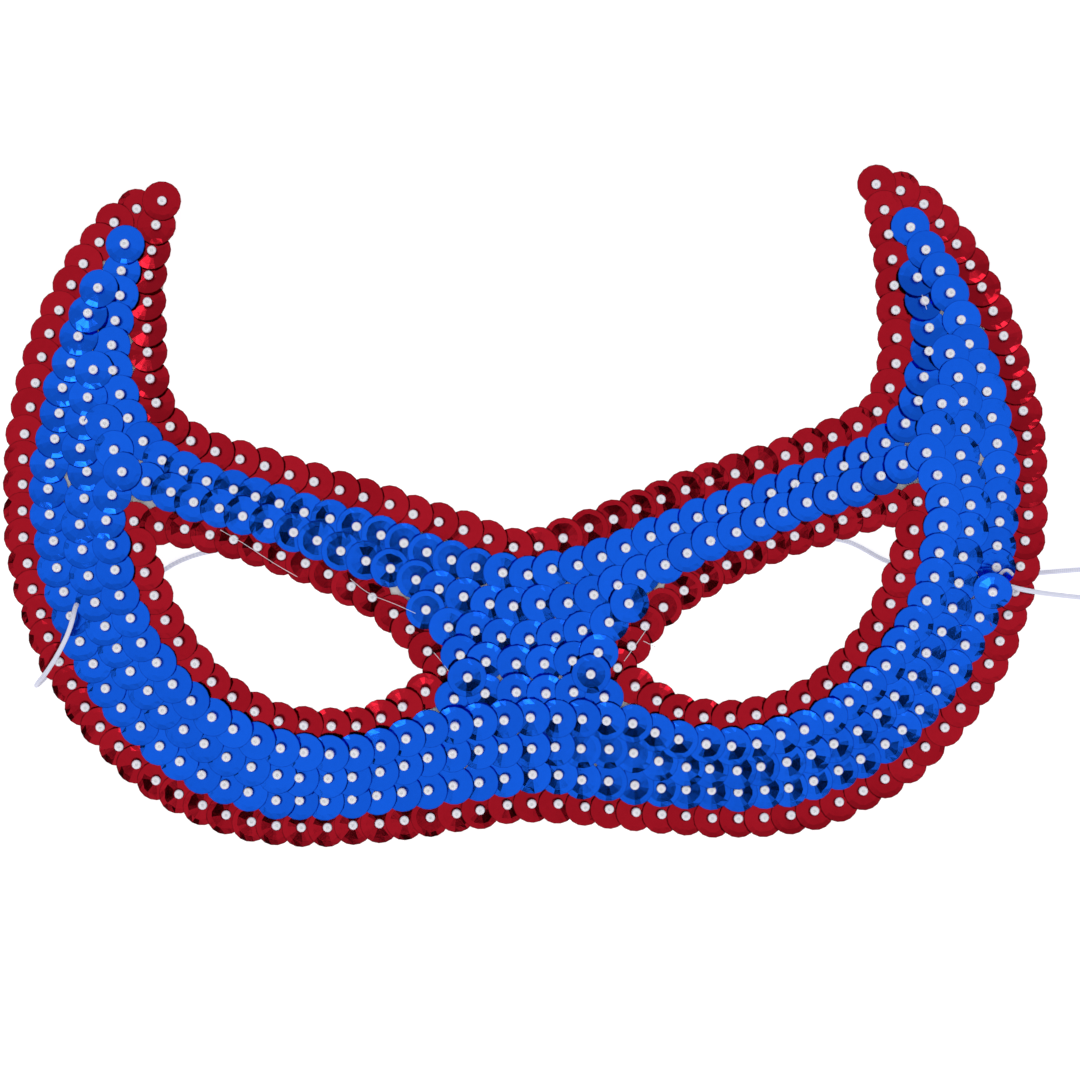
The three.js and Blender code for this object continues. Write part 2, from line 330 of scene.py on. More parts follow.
@dataclass(frozen=True)
class Station:
    """A place on a seam, with the direction in which the seam runs there."""

    point: Vector
    along: Vector


class Seam:
    """A smooth line in plan through a few points, walked by its length."""

    def __init__(self, points: Sequence[Vector], steps: int = 24) -> None:
        """Samples the line.

        Args:
            points: The points that the line passes through.
            steps: Samples from each point to the next.
        """
        self.samples = [
            self._between(points, index, step / steps)
            for index in range(len(points) - 1)
            for step in range(steps)
        ]
        self.samples.append(points[-1].copy())
        self.lengths = [0.0]
        for before, after in zip(self.samples, self.samples[1:]):
            self.lengths.append(self.lengths[-1] + (after - before).length)

    @staticmethod
    def _between(points: Sequence[Vector], index: int, share: float) -> Vector:
        """Returns the place at a share of the way from one point to the next, on an even cubic spline."""
        before = points[max(index - 1, 0)]
        start, end = points[index], points[index + 1]
        after = points[min(index + 2, len(points) - 1)]
        leave, arrive = (end - before) / 2, (after - start) / 2
        cubic = (start - end) * 2 + leave + arrive
        square = (end - start) * 3 - leave * 2 - arrive
        return cubic * share**3 + square * share**2 + leave * share + start

    @property
    def length(self) -> float:
        """Length of the whole line."""
        return self.lengths[-1]

    def at(self, distance: float) -> Station:
        """Returns the station at a distance from the line's start."""
        index = 0
        while index < len(self.lengths) - 2 and self.lengths[index + 1] < distance:
            index += 1
        start, end = self.samples[index], self.samples[index + 1]
        share = (distance - self.lengths[index]) / (self.lengths[index + 1] - self.lengths[index])
        return Station(start.lerp(end, share), (end - start).normalized())

    def stations(self, pitch: float, with_end: bool = False, rhythm: Rhythm = Rhythm.FREE) -> list[Station]:
        """Places along the line, evenly spaced.

        Args:
            pitch: Wanted distance from each place to the next.
            with_end: Whether the line's end gets a place too.
            rhythm: What falls on the line's middle.

        Returns:
            The stations from the start on.
        """
        steps = max(1, round(self.length / pitch))
        if rhythm is not Rhythm.FREE and steps % 2 != rhythm.value:
            steps += 1 if self.length / pitch > steps else -1
        return [self.at(self.length * step / steps) for step in range(steps + (1 if with_end else 0))]


@dataclass
class Sequin:
    """One cup sequin, lying over the felt with a slope of its own."""

    station: Station
    point: Vector
    order: int
    height: float
    slope: Vector
    spin: float
    tone: float


@dataclass(frozen=True)
class Contact:
    """A place where one sequin's cup may touch the cup of one under it.

    The three shares say how much of an overlap one round of settling takes up.
    """

    upper: Sequin
    lower: Sequin
    over: Vector
    under: Vector
    spare: float
    lift_share: float = 0.15
    tilt_share: float = 0.15
    yield_share: float = 0.2

    def part(self, radius: float) -> None:
        """Moves both sequins a little where they touch.

        Args:
            radius: Half a sequin's width.
        """
        above = self.upper.height + self.upper.slope.dot(self.over) + self.spare
        short = self.lower.height + self.lower.slope.dot(self.under) - above
        if short <= 0:
            return
        self.upper.height += short * self.lift_share
        self.upper.slope += self.over * (short * self.tilt_share / radius**2)
        self.lower.slope -= self.under * (short * self.yield_share / radius**2)


@dataclass(frozen=True)
class Place:
    """Where a copy of a small piece goes, and how its colour strays from the next one's."""

    matrix: Matrix
    tone: float


@dataclass(frozen=True)
class SequinCup:
    """A faceted cup sequin: a hole, a shallow floor with straight sides, and a steeper round brim.

    The brim is pressed a little wider than the sequin's nominal size.
    """

    radius: float = SEQUIN_RADIUS + 0.0001
    hole_radius: float = 0.0005
    floor_corner: float = 0.0033
    floor_rise: float = 0.00030
    brim_rise: float = 0.00024
    film: float = 0.00008
    floor_sides: int = 6
    sides: int = 18
    flat_angle: float = math.radians(1)

    @property
    def depth(self) -> float:
        """Rise from the hole to the rim."""
        return self.floor_rise + self.brim_rise

    def rise(self, reach: float) -> float:
        """Returns how high the cup stands over its hole at a distance from its middle."""
        if reach < self.floor_corner:
            return self.floor_rise * reach / self.floor_corner
        brim_share = (reach - self.floor_corner) / (self.radius - self.floor_corner)
        return self.floor_rise + self.brim_rise * brim_share

    def mesh(self) -> bpy.types.Mesh:
        """Builds the pattern that every sequin is a copy of.

        Returns:
            A closed mesh round the origin, with the hole at height 0 and the cup open upwards.
        """
        apothem = self.floor_corner * math.cos(math.pi / self.floor_sides)
        shape = bmesh.new()
        ring = bmesh.ops.create_circle(shape, segments=self.sides, radius=self.hole_radius)["verts"]
        for vert in ring:
            vert.co.z = self.floor_rise * vert.co.length * self._off_side(vert.co) / apothem
        floor = self._next_ring(shape, ring)
        for vert in floor:
            vert.co = vert.co.normalized() * apothem / self._off_side(vert.co)
            vert.co.z = self.floor_rise
        brim = self._next_ring(shape, floor)
        for vert in brim:
            vert.co.z = 0
            vert.co = vert.co.normalized() * self.radius
            vert.co.z = self.depth
        bmesh.ops.recalc_face_normals(shape, faces=shape.faces)
        if shape.faces[0].normal.z < 0:
            bmesh.ops.reverse_faces(shape, faces=shape.faces)
        bmesh.ops.solidify(shape, geom=shape.faces[:], thickness=self.film)
        bmesh.ops.dissolve_limit(
            shape, angle_limit=self.flat_angle, verts=shape.verts[:], edges=shape.edges[:]
        )
        sheet = shape.loops.layers.uv.new("UVMap")
        for face in shape.faces:
            for loop in face.loops:
                loop[sheet].uv = loop.vert.co.xy / (2 * self.radius) + Vector((0.5, 0.5))
        return finished_mesh(shape, "sequin_pattern")

    def _off_side(self, place: Vector) -> float:
        """Returns the cosine of the angle from a place to the middle of its nearest floor side."""
        half_side = math.pi / self.floor_sides
        angle = math.atan2(place.y, place.x) % (2 * half_side)
        return math.cos(angle - half_side)

    @staticmethod
    def _next_ring(
        shape: bmesh.types.BMesh, ring: Sequence[bmesh.types.BMVert]
    ) -> list[bmesh.types.BMVert]:
        """Returns the new ring of corners that the extruded edges of one ring end on."""
        inside = set(ring)
        edges = [edge for edge in shape.edges if all(vert in inside for vert in edge.verts)]
        made = bmesh.ops.extrude_edge_only(shape, edges=edges)["geom"]
        return [item for item in made if isinstance(item, bmesh.types.BMVert)]


@dataclass(frozen=True)
class SeedBead:
    """A round glass seed bead with its hole upright, filled by its thread.

    The thread's length and its middle are shares of the bead's height.
    """

    radius: float = 0.00104
    hole_radius: float = 0.00005
    height: float = 0.00135
    sides: int = 12
    section_sides: int = 6
    thread_radius: float = 0.00024
    thread_sides: int = 8
    thread_length: float = 0.6
    thread_middle: float = 0.52

    def mesh(self) -> bpy.types.Mesh:
        """Builds the pattern that every bead is a copy of.

        Returns:
            A smooth closed ring that stands on height 0, with the thread that fills its hole.
        """
        wall = (self.radius - self.hole_radius) / 2
        shape = bmesh.new()
        section = bmesh.ops.create_circle(shape, segments=self.section_sides, radius=wall)["verts"]
        bmesh.ops.rotate(shape, verts=section, cent=(0, 0, 0), matrix=Matrix.Rotation(math.pi / 2, 3, "X"))
        bmesh.ops.scale(shape, verts=section, vec=(1, 1, self.height / (2 * wall)))
        bmesh.ops.translate(shape, verts=section, vec=(self.hole_radius + wall, 0, self.height / 2))
        bmesh.ops.spin(
            shape,
            geom=shape.edges[:] + shape.verts[:],
            cent=(0, 0, 0),
            axis=(0, 0, 1),
            angle=2 * math.pi,
            steps=self.sides,
            use_merge=True,
        )
        bmesh.ops.remove_doubles(shape, verts=shape.verts, dist=SAME_PLACE)
        bmesh.ops.create_cone(
            shape,
            cap_ends=True,
            segments=self.thread_sides,
            radius1=self.thread_radius,
            radius2=self.thread_radius,
            depth=self.height * self.thread_length,
            matrix=Matrix.Translation((0, 0, self.height * self.thread_middle)),
        )
        bmesh.ops.recalc_face_normals(shape, faces=shape.faces)
        sheet = shape.loops.layers.uv.new("UVMap")
        for face in shape.faces:
            face.smooth = len(face.verts) == 4
            for loop in face.loops:
                reach = (loop.vert.co.xy.length - self.hole_radius) / (2 * wall)
                loop[sheet].uv = (reach, loop.vert.co.z / self.height)
        return finished_mesh(shape, "bead_pattern")


def finished_mesh(shape: bmesh.types.BMesh, name: str) -> bpy.types.Mesh:
    """Turns a shape into a mesh and frees it.

    Args:
        shape: The shape.
        name: The mesh's name.

    Returns:
        The mesh.
    """
    mesh = bpy.data.meshes.new(name)
    shape.to_mesh(mesh)
    shape.free()
    return mesh


def placed(name: str, data: bpy.types.ID) -> bpy.types.Object:
    """Returns a new object in the scene, at the origin, that shows some data."""
    piece = bpy.data.objects.new(name, data)
    bpy.context.scene.collection.objects.link(piece)
    return piece


def joined_copies(name: str, pattern: bpy.types.Mesh, places: Iterable[Place]) -> bpy.types.Object:
    """Makes one piece of many copies of a pattern.

    Args:
        name: The piece's name.
        pattern: The mesh to copy.
        places: Where the copies go.

    Returns:
        The piece, whose faces carry their copy's tone.
    """
    whole = bmesh.new()
    for place in places:
        copy = pattern.copy()
        copy.transform(place.matrix)
        tone = copy.attributes.new("tone", "FLOAT", "POINT")
        tone.data.foreach_set("value", [place.tone] * len(copy.vertices))
        whole.from_mesh(copy)
        bpy.data.meshes.remove(copy)
    return placed(name, finished_mesh(whole, name))


def strand_mesh(
    name: str, strands: Iterable[Sequence[Vector]], radius: float, sides: int = 1, steps: int = 3
) -> bpy.types.Object:
    """Makes one piece of many thin round strands.

    Args:
        name: The piece's name.
        strands: The points that each strand passes through.
        radius: Half a strand's thickness.
        sides: Fineness of a strand's round section.
        steps: Straight pieces from each point to the next.

    Returns:
        The piece, as a closed mesh with a UV map that runs along each strand.
    """
    curve = bpy.data.curves.new(f"{name}_lines", "CURVE")
    curve.dimensions = "3D"
    curve.bevel_depth = radius
    curve.bevel_resolution = sides
    curve.resolution_u = steps
    curve.use_fill_caps = True
    for strand in strands:
        spline = curve.splines.new("BEZIER")
        spline.bezier_points.add(len(strand) - 1)
        for knot, point in zip(spline.bezier_points, strand):
            knot.co = point
            knot.handle_left_type = knot.handle_right_type = "AUTO"
    lines = bpy.data.objects.new(f"{name}_lines", curve)
    mesh = bpy.data.meshes.new_from_object(lines)
    mesh.name = name
    bpy.data.objects.remove(lines)
    bpy.data.curves.remove(curve)
    return placed(name, mesh)


class Level:
    """A shader value that takes part in Python arithmetic and adds its Math nodes as it does."""

    def __init__(self, sheet: "NodeSheet", socket: bpy.types.NodeSocket) -> None:
        """Wraps an output socket of a sheet of nodes."""
        self.sheet = sheet
        self.socket = socket

    def _with(self, operation: str, *values: "Level | float") -> "Level":
        """Returns the result of a Math node on this value and others."""
        inputs = {index: value for index, value in enumerate(values)}
        return self.sheet.node("ShaderNodeMath", {"operation": operation}, inputs).value("Value")

    def __add__(self, other: "Level | float") -> "Level":
        """Returns the sum."""
        return self._with("ADD", self, other)

    __radd__ = __add__

    def __mul__(self, other: "Level | float") -> "Level":
        """Returns the product."""
        return self._with("MULTIPLY", self, other)

    __rmul__ = __mul__

    def __sub__(self, other: "Level | float") -> "Level":
        """Returns the difference."""
        return self._with("SUBTRACT", self, other)

    def __rsub__(self, other: float) -> "Level":
        """Returns a number less this value."""
        return self._with("SUBTRACT", other, self)

    def __pow__(self, other: float) -> "Level":
        """Returns this value to a power."""
        return self._with("POWER", self, other)

    def sine(self) -> "Level":
        """Returns the sine of this value in radians."""
        return self._with("SINE", self)

    def clamped(self) -> "Level":
        """Returns this value kept between 0 and 1."""
        return self._with("MINIMUM", self._with("MAXIMUM", self, 0.0), 1.0)


class NodeMade:
    """One node of a sheet, whose outputs can be read."""

    def __init__(self, sheet: "NodeSheet", node: bpy.types.Node) -> None:
        """Wraps a node."""
        self.sheet = sheet
        self.node = node

    def value(self, output: str) -> Level:
        """Returns an output as a value that can be reckoned with."""
        return Level(self.sheet, self.node.outputs[output])


class NodeSheet:
    """A shader's nodes, made by one method."""

    def __init__(self, tree: bpy.types.NodeTree) -> None:
        """Empties a node tree and keeps it."""
        self.tree = tree
        self.tree.nodes.clear()

    def node(self, kind: str, settings: dict[str, object], inputs: dict[str | int, object]) -> NodeMade:
        """Adds a node.

        Args:
            kind: The node's type.
            settings: Its own settings, set first. A ramp's stops are given as "stops".
            inputs: Values or links of its sockets, by name or by number.

        Returns:
            The node.
        """
        made = self.tree.nodes.new(kind)
        for name, setting in settings.items():
            if name == "stops":
                self._set_stops(made.color_ramp, setting)
            else:
                setattr(made, name, setting)
        for name, value in inputs.items():
            socket = made.inputs[name]
            if isinstance(value, Level):
                self.tree.links.new(value.socket, socket)
            else:
                socket.default_value = value
        return NodeMade(self, made)

    @staticmethod
    def _set_stops(ramp: bpy.types.ColorRamp, stops: Sequence[tuple[float, "Colour"]]) -> None:
        """Gives a ramp its stops."""
        while len(ramp.elements) < len(stops):
            ramp.elements.new(1.0)
        for element, (position, colour) in zip(ramp.elements, stops):
            element.position = position
            element.color = colour

    def mix(self, share: Level | float, first: object, second: object) -> Level:
        """Returns a colour between two others."""
        mixed = self.node("ShaderNodeMix", {"data_type": "RGBA"}, {0: share, 6: first, 7: second})
        return Level(self, mixed.node.outputs[2])

    def noise(self, place: Level, scale: float, detail: float = 3.0, roughness: float = 0.5) -> Level:
        """Returns a cloudy pattern between 0 and 1."""
        inputs = {"Vector": place, "Scale": scale, "Detail": detail, "Roughness": roughness}
        return self.node("ShaderNodeTexNoise", {}, inputs).value("Fac")

    def bump(
        self, height: Level, distance: float, strength: float = 1.0, under: Level | None = None
    ) -> Level:
        """Returns a surface direction that follows a height, over another relief where one is given."""
        inputs: dict[str | int, object] = {"Height": height, "Distance": distance, "Strength": strength}
        if under is not None:
            inputs["Normal"] = under
        return self.node("ShaderNodeBump", {}, inputs).value("Normal")

    def object_place(self) -> Level:
        """Returns the place on the object."""
        return self.node("ShaderNodeTexCoord", {}, {}).value("Object")

    def sheet_place(self) -> Level:
        """Returns the place on the piece's own UV map."""
        return self.node("ShaderNodeUVMap", {"uv_map": "UVMap"}, {}).value("UV")

    def attribute(self, name: str) -> Level:
        """Returns a value that the mesh carries."""
        return self.node("ShaderNodeAttribute", {"attribute_name": name}, {}).value("Fac")

    def surface(self, inputs: dict[str | int, object]) -> None:
        """Ends the sheet in one Principled surface."""
        shader = self.node("ShaderNodeBsdfPrincipled", {}, inputs).value("BSDF")
        self.node("ShaderNodeOutputMaterial", {}, {"Surface": shader})


def new_sheet(name: str) -> tuple[bpy.types.Material, NodeSheet]:
    """Returns a new material with its empty sheet of nodes."""
    material = bpy.data.materials.new(name)
    material.use_nodes = True
    return material, NodeSheet(material.node_tree)


Colour = tuple[float, float, float, float]


@dataclass(frozen=True)
class FoilFinish:
    """Metallic film of a cup sequin, with the fine rings that its stamp left.

    The weights say how far smears, rings and each sequin's own tone deepen its colour. A thin dark line
    round the rim is painted shade for the shadow where sequins overlap; it starts at a share of the
    sequin's radius.
    """

    name: str
    colour: Colour
    deep_colour: Colour
    edge_shade_colour: Colour
    roughness: float = 0.13
    roughness_spread: float = 0.1
    ring_pitch: float = 0.00026
    ring_depth: float = 0.000003
    ring_weight: float = 0.12
    dent_scale: float = 300.0
    dent_depth: float = 0.00003
    smear_scale: float = 900.0
    smear_middle: float = 0.45
    smear_weight: float = 0.4
    tone_weight: float = 0.5
    edge_shade_start: float = 0.95
    edge_shade_sharpness: float = 40.0
    edge_shade_weight: float = 0.6

    def material(self) -> bpy.types.Material:
        """Builds the material.

        Returns:
            The material, which reads each sequin's own UV map and tone.
        """
        material, sheet = new_sheet(self.name)
        centred = sheet.node(
            "ShaderNodeVectorMath",
            {"operation": "SUBTRACT"},
            {0: sheet.sheet_place(), 1: (0.5, 0.5, 0.0)},
        ).value("Vector")
        reach = sheet.node("ShaderNodeVectorMath", {"operation": "LENGTH"}, {0: centred}).value("Value")
        rings = (reach * (2 * math.pi * 2 * SEQUIN_RADIUS / self.ring_pitch)).sine() * 0.5 + 0.5
        place = sheet.object_place()
        smears = sheet.noise(place, self.smear_scale, 4.0, 0.6)
        tone = sheet.attribute("tone")
        wear = (smears - self.smear_middle) * self.smear_weight
        wear = wear + tone * self.tone_weight + rings * self.ring_weight
        colour = sheet.mix(wear.clamped(), self.colour, self.deep_colour)
        # A thin darker line round the rim: painted shade for the shadow where one sequin overlaps another.
        rim = ((reach * 2.0 - self.edge_shade_start) * self.edge_shade_sharpness).clamped()
        colour = sheet.mix(rim * self.edge_shade_weight, colour, self.edge_shade_colour)
        relief = sheet.bump(rings, self.ring_depth)
        relief = sheet.bump(sheet.noise(place, self.dent_scale, 1.0), self.dent_depth, 0.5, relief)
        roughness = smears * self.roughness_spread + (self.roughness - self.roughness_spread / 2)
        sheet.surface({"Base Color": colour, "Metallic": 1.0, "Roughness": roughness, "Normal": relief})
        return material


# Each foil's third colour is its painted edge shade, the dark line for the shadow between overlapping
# sequins.
RED_FOIL = FoilFinish(
    "red_foil", (0.37, 0.0085, 0.019, 1.0), (0.24, 0.004, 0.01, 1.0), (0.09, 0.004, 0.006, 1.0)
)
BLUE_FOIL = FoilFinish(
    "blue_foil", (0.0075, 0.112, 0.76, 1.0), (0.005, 0.078, 0.57, 1.0), (0.003, 0.028, 0.3, 1.0)
)


@dataclass(frozen=True)
class BeadFinish:
    """Pearly white glass with a lilac rim and a cool shadow in the hole.

    The body's colour runs between two shares of the way out from the hole.
    """

    name: str = "pearly_seed_bead"
    body: Colour = (0.78, 0.78, 0.84, 1.0)
    rim: Colour = (0.6, 0.55, 0.7, 1.0)
    hole: Colour = (0.7, 0.74, 0.78, 1.0)
    body_from: float = 0.3
    body_to: float = 0.7
    cloud_scale: float = 1500.0
    roughness: float = 0.08
    roughness_spread: float = 0.1
    glow_depth: float = 0.0006

    def material(self) -> bpy.types.Material:
        """Builds the material.

        Returns:
            The material, which reads how far out from its hole a place on the bead lies.
        """
        material, sheet = new_sheet(self.name)
        place = sheet.sheet_place()
        reach = sheet.node("ShaderNodeSeparateXYZ", {}, {"Vector": place}).value("X")
        stops = [(0.0, self.hole), (self.body_from, self.body), (self.body_to, self.body), (1.0, self.rim)]
        colour = sheet.node("ShaderNodeValToRGB", {"stops": stops}, {"Fac": reach}).value("Color")
        clouds = sheet.noise(sheet.object_place(), self.cloud_scale, 2.0)
        sheet.surface(
            {
                "Base Color": colour,
                "Roughness": clouds * self.roughness_spread + self.roughness,
                "Subsurface Weight": 0.25,
                "Subsurface Radius": (self.glow_depth, self.glow_depth, self.glow_depth),
                "Subsurface Scale": 1.0,
                "Coat Weight": 0.6,
                "Coat Roughness": 0.04,
            }
        )
        return material


@dataclass(frozen=True)
class FeltFinish:
    """White pressed felt with fibres that lie every way.

    Each layer of fibres has its turn and its fineness, and their scale is given along, across and through.
    """

    name: str = "white_felt"
    pale: Colour = (0.93, 0.93, 0.92, 1.0)
    shaded: Colour = (0.83, 0.83, 0.82, 1.0)
    layers: tuple[tuple[float, float], ...] = ((0.3, 1.0), (1.4, 1.3), (2.4, 0.8))
    fibre_scale: tuple[float, float, float] = (260.0, 2600.0, 900.0)
    fibre_depth: float = 0.00025
    clump_scale: float = 330.0
    clump_depth: float = 0.0005
    roughness: float = 0.95

    def material(self) -> bpy.types.Material:
        """Builds the material.

        Returns:
            The material, which reads the place on the object.
        """
        material, sheet = new_sheet(self.name)
        place = sheet.object_place()
        along, across, through = self.fibre_scale
        layers = []
        for turn, fineness in self.layers:
            scale = (along * fineness, across * fineness, through)
            inputs = {"Vector": place, "Rotation": (0.0, 0.0, turn), "Scale": scale}
            turned = sheet.node("ShaderNodeMapping", {}, inputs).value("Vector")
            layers.append(sheet.noise(turned, 1.0, 2.0, 0.6))
        fibres = sum(layers[1:], layers[0]) * (1 / len(layers))
        clumps = sheet.noise(place, self.clump_scale, 5.0, 0.65)
        shade = (clumps * 0.6 + fibres * 0.6 - 0.25).clamped()
        relief = sheet.bump(clumps, self.clump_depth, 0.7)
        relief = sheet.bump(fibres, self.fibre_depth, 0.8, relief)
        sheet.surface(
            {
                "Base Color": sheet.mix(shade, self.shaded, self.pale),
                "Roughness": self.roughness,
                "Sheen Weight": 0.5,
                "Sheen Roughness": 0.5,
                "Normal": relief,
            }
        )
        return material


@dataclass(frozen=True)
class BraidFinish:
    """Round white elastic with a fine slanting braid."""

    name: str = "round_elastic"
    pale: Colour = (0.8, 0.81, 0.93, 1.0)
    shaded: Colour = (0.55, 0.57, 0.76, 1.0)
    turns: float = 420.0
    strands: float = 4.0
    braid_depth: float = 0.00006
    fuzz_scale: float = 5200.0
    fuzz_depth: float = 0.00003
    roughness: float = 0.75

    def material(self) -> bpy.types.Material:
        """Builds the material.

        Returns:
            The material, which reads the cord's own UV map.
        """
        material, sheet = new_sheet(self.name)
        parts = sheet.node("ShaderNodeSeparateXYZ", {}, {"Vector": sheet.sheet_place()})
        along, around = parts.value("X"), parts.value("Y")
        left = ((along * self.turns + around * self.strands) * (2 * math.pi)).sine()
        right = ((along * self.turns - around * self.strands) * (2 * math.pi)).sine()
        braid = left * right * 0.5 + 0.5
        fuzz = sheet.noise(sheet.object_place(), self.fuzz_scale, 2.0)
        relief = sheet.bump(braid, self.braid_depth, 0.8)
        relief = sheet.bump(fuzz, self.fuzz_depth, 0.5, relief)
        sheet.surface(
            {
                "Base Color": sheet.mix((braid * 0.7 + fuzz * 0.4).clamped(), self.shaded, self.pale),
                "Roughness": self.roughness,
                "Sheen Weight": 0.3,
                "Normal": relief,
            }
        )
        return material


@dataclass(frozen=True)
class NylonFinish:
    """Thin clear nylon thread."""

    name: str = "clear_nylon"
    colour: Colour = (0.86, 0.88, 0.95, 1.0)
    streak_scale: float = 700.0
    thinnest: float = 0.35
    streak_weight: float = 0.3
    roughness: float = 0.2

    def material(self) -> bpy.types.Material:
        """Builds the material, which lets part of what lies behind it through."""
        material, sheet = new_sheet(self.name)
        streaks = sheet.noise(sheet.object_place(), self.streak_scale, 2.0)
        sheet.surface(
            {
                "Base Color": self.colour,
                "Roughness": self.roughness,
                "Alpha": streaks * self.streak_weight + self.thinnest,
                "Coat Weight": 0.5,
            }
        )
        return material


def point_of(share: tuple[float, float], half_width: float) -> Vector:
    """Returns the place in plan of a pair of shares."""
    return Vector((share[0] * half_width, share[1] * SEAM_HALF_HEIGHT))


def leaned(stations: Iterable[Station], lean: float = 0.008) -> list[Station]:
    """Moves a row a little to the left where it climbs the horns, as it was sewn.

    Args:
        stations: The row's stations.
        lean: Shift to the left for each unit of height over the middle.

    Returns:
        The moved stations.
    """
    return [
        Station(station.point - Vector((lean * max(station.point.y, 0.0), 0.0)), station.along)
        for station in stations
    ]


@dataclass
class SequinField:
    """The sequins and the beads of the whole mask, laid row by row in the order in which they were sewn.

    Sequins settle in rounds, and the threads pull them down in the first share of these.
    """

    half_width: float
    bow: Bow
    cup: SequinCup = field(default_factory=SequinCup)
    bead: SeedBead = field(default_factory=SeedBead)
    first_height: float = 0.00030
    first_climb: float = 0.08
    steepest: float = 0.21
    closest: float = 0.0034
    thread_pull: float = 0.00001
    settling_rounds: int = 80
    pulled_share: float = 0.7
    raised_share: float = 0.5
    drawn_share: float = 0.6
    films_apart: float = 1.6
    touching: float = 1.001
    bead_lift: float = 0.00012
    bead_lean: float = 0.1
    chance: random.Random = field(default_factory=lambda: random.Random(11))
    sewn: list[Sequin] = field(default_factory=list)

    def seam(self, shares: Sequence[tuple[float, float]], side: Side = Side.RIGHT) -> Seam:
        """Returns the smooth line through a table's points, on a half of the mask."""
        points = [point_of(share, self.half_width) for share in shares]
        return Seam([Vector((side.value * point.x, point.y)) for point in points])

    def spanned(self, shares: Sequence[tuple[float, float]], from_left: bool) -> Seam:
        """A table's line over both halves of the mask.

        Args:
            shares: Shares on the right half, of which one end lies on the middle line.
            from_left: Whether the line runs from left to right.

        Returns:
            The line.
        """
        right = [point_of(share, self.half_width) for share in shares]
        if right[0].x > right[-1].x:
            right.reverse()
        whole = [Vector((-point.x, point.y)) for point in reversed(right[1:])] + right
        return Seam(whole if from_left else whole[::-1])

    def sew(self, stations: Sequence[Station], facing: Facing, stray: float) -> list[Sequin]:
        """Adds a row of sequins over those sewn before it.

        Args:
            stations: Where the row's sequins go, anticlockwise seen from the front.
            facing: Which way the row was sewn.
            stray: How far a sequin may lie beside its station.

        Returns:
            The row's sequins.
        """
        row: list[Sequin] = []
        for station in stations if facing is Facing.ANTICLOCKWISE else reversed(stations):
            gaps = ((sequin.station.point - station.point).length for sequin in self.sewn)
            if min(gaps, default=1.0) < self.closest:
                continue
            shift = Vector((self.chance.uniform(-stray, stray), self.chance.uniform(-stray, stray)))
            row.append(
                Sequin(
                    station=station,
                    point=station.point + shift,
                    order=len(self.sewn),
                    height=self.first_height,
                    slope=station.along * (-facing.value * self.first_climb),
                    spin=self.chance.uniform(0, 2 * math.pi),
                    tone=self.chance.random(),
                )
            )
            self.sewn.append(row[-1])
        return row

    def settle(self) -> None:
        """Tilts and lifts every sequin until its cup clears those that it lies over."""
        contacts = self._contacts()
        for turn in range(self.settling_rounds):
            for contact in contacts:
                contact.part(self.cup.radius)
            for sequin in self.sewn:
                if turn < self.pulled_share * self.settling_rounds:
                    sequin.height -= self.thread_pull
                self._rest(sequin)
        LOG.info("settled %d sequins on %d contacts", len(self.sewn), len(contacts))

    def lift(self, place: Vector, height: float, slope: Vector) -> None:
        """Lifts the sequin that lies over the elastic at a place, gives it the lightest foil tone as
        painted light for the glare it catches, and draws its neighbours after it.

        Args:
            place: Where the elastic passes under it.
            height: How far its hole stands over the felt.
            slope: How fast it rises.
        """
        nearest = min(self.sewn, key=lambda sequin: (sequin.point - place).length)
        pull = (place - nearest.point) * self.drawn_share
        for neighbour in (self.sewn[nearest.order - 1], self.sewn[nearest.order + 1]):
            neighbour.point = neighbour.point + pull
        nearest.point = place
        nearest.height = height
        nearest.slope = slope
        nearest.spin = 0.0
        # The lightest tone is painted light: it stands for the glare that the raised sequin catches.
        nearest.tone = 0.0

    def _rest(self, sequin: Sequin) -> None:
        """Keeps a sequin over the felt and its tilt believable."""
        if sequin.slope.length > self.steepest:
            sequin.slope *= self.steepest / sequin.slope.length
        sunk = sequin.slope.length * self.cup.radius - self.cup.depth - sequin.height
        sequin.height = max(sequin.height, self.first_height) + max(sunk, 0.0) * self.raised_share

    def _contacts(self) -> list[Contact]:
        """Finds the places where one sequin's cup may touch the cup of one under it.

        Returns:
            The contacts, in the order of sewing.
        """
        film = self.films_apart * self.cup.film
        reach = self.touching * self.cup.radius
        found = []
        for upper in self.sewn:
            for lower in self.sewn[: upper.order]:
                gap = lower.point - upper.point
                if gap.length > 2 * self.cup.radius:
                    continue
                rim = [gap + ray * self.cup.radius for ray in COMPASS]
                middle = [Vector((0, 0))] + [ray * self.cup.floor_corner for ray in COMPASS[::2]]
                for over in rim + middle:
                    under = over - gap
                    if over.length < reach and under.length < reach:
                        spare = self.cup.rise(over.length) - self.cup.rise(under.length) - film
                        found.append(Contact(upper, lower, over, under, spare))
        return found

    def top_matrix(self, sequin: Sequin) -> Matrix:
        """Returns where a sequin's hole is and how its cup is turned."""
        x, y = sequin.point
        slope = self.bow.slope(x, y) + sequin.slope
        up = Vector((-slope.x, -slope.y, 1)).normalized()
        turn = up.to_track_quat("Z", "Y").to_matrix().to_4x4()
        height = self.bow.height(x, y) + FELT_THICKNESS + sequin.height
        return Matrix.Translation((x, y, height)) @ turn @ Matrix.Rotation(sequin.spin, 4, "Z")

    def dress(self, name: str, row: Sequence[Sequin], pattern: bpy.types.Mesh) -> bpy.types.Object:
        """Returns one piece with a copy of the sequin's pattern at each sequin of some rows."""
        return joined_copies(name, pattern, [Place(self.top_matrix(sequin), sequin.tone) for sequin in row])

